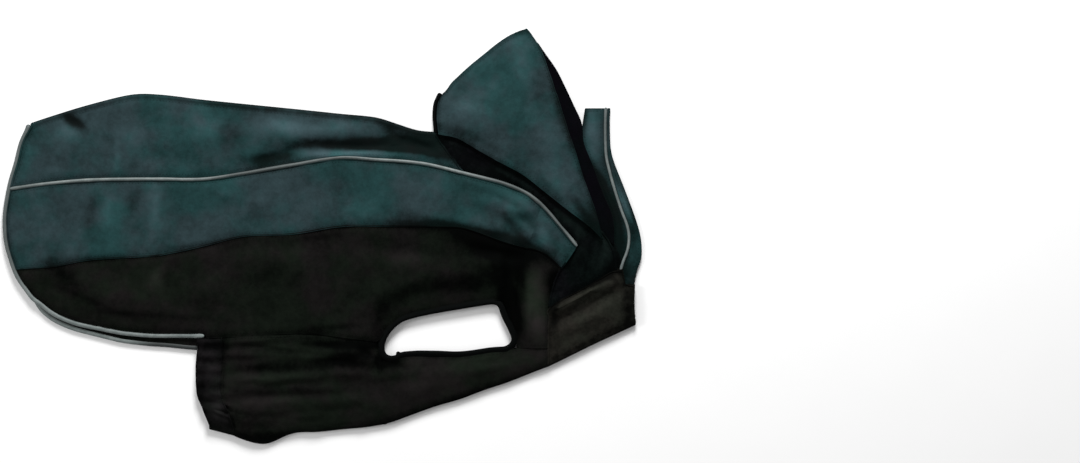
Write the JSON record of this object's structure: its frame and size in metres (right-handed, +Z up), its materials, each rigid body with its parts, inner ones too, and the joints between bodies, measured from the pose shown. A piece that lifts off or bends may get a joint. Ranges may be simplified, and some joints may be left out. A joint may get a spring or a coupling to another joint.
{
  "type": "dog winter coat",
  "caption": "Dog winter coat with a hood lying flat on its side: teal back and sides, black flanks, gathered black belly panel, leg openings and light grey piping.",
  "frame": {"origin": "centre of the bounding box at the surface that the coat lies on", "axes": "+X along the back from the hem to the chest, +Y from the belly fold to the back fold, +Z up from the surface to the right half of the coat"},
  "size_m": [0.6392, 0.4128, 0.0136],
  "materials": {
    "teal_cloth": "dark teal woven polyester, soft sheen",
    "black_cloth": "black woven polyester, matt",
    "elastic_casing": "black woven polyester gathered by elastic",
    "chest_cloth": "brownish black woven polyester, matt",
    "lining_cloth": "near black brushed lining",
    "silver_trim": "light grey reflective tape",
    "black_binding": "black woven binding tape"
  },
  "bodies": {
    "root": {"back_panel": "teal_cloth", "side_right": "teal_cloth", "side_left": "teal_cloth", "hood_right": "teal_cloth", "hood_left": "teal_cloth", "collar_left": "teal_cloth", "collar_edge_left": "teal_cloth", "flank_right": "black_cloth", "flank_left": "black_cloth", "belly_panel": "black_cloth", "neck_band_right": "black_cloth", "neck_band_left": "black_cloth", "belly_elastic": "elastic_casing", "chest_panel": "chest_cloth", "hood_lining": "lining_cloth", "piping_right": "silver_trim", "piping_left": "silver_trim", "piping_collar": "silver_trim", "hem_trim": "silver_trim", "leg_binding_right": "black_binding", "leg_binding_left": "black_binding", "hood_binding": "black_binding"}
  },
  "joints": []
}
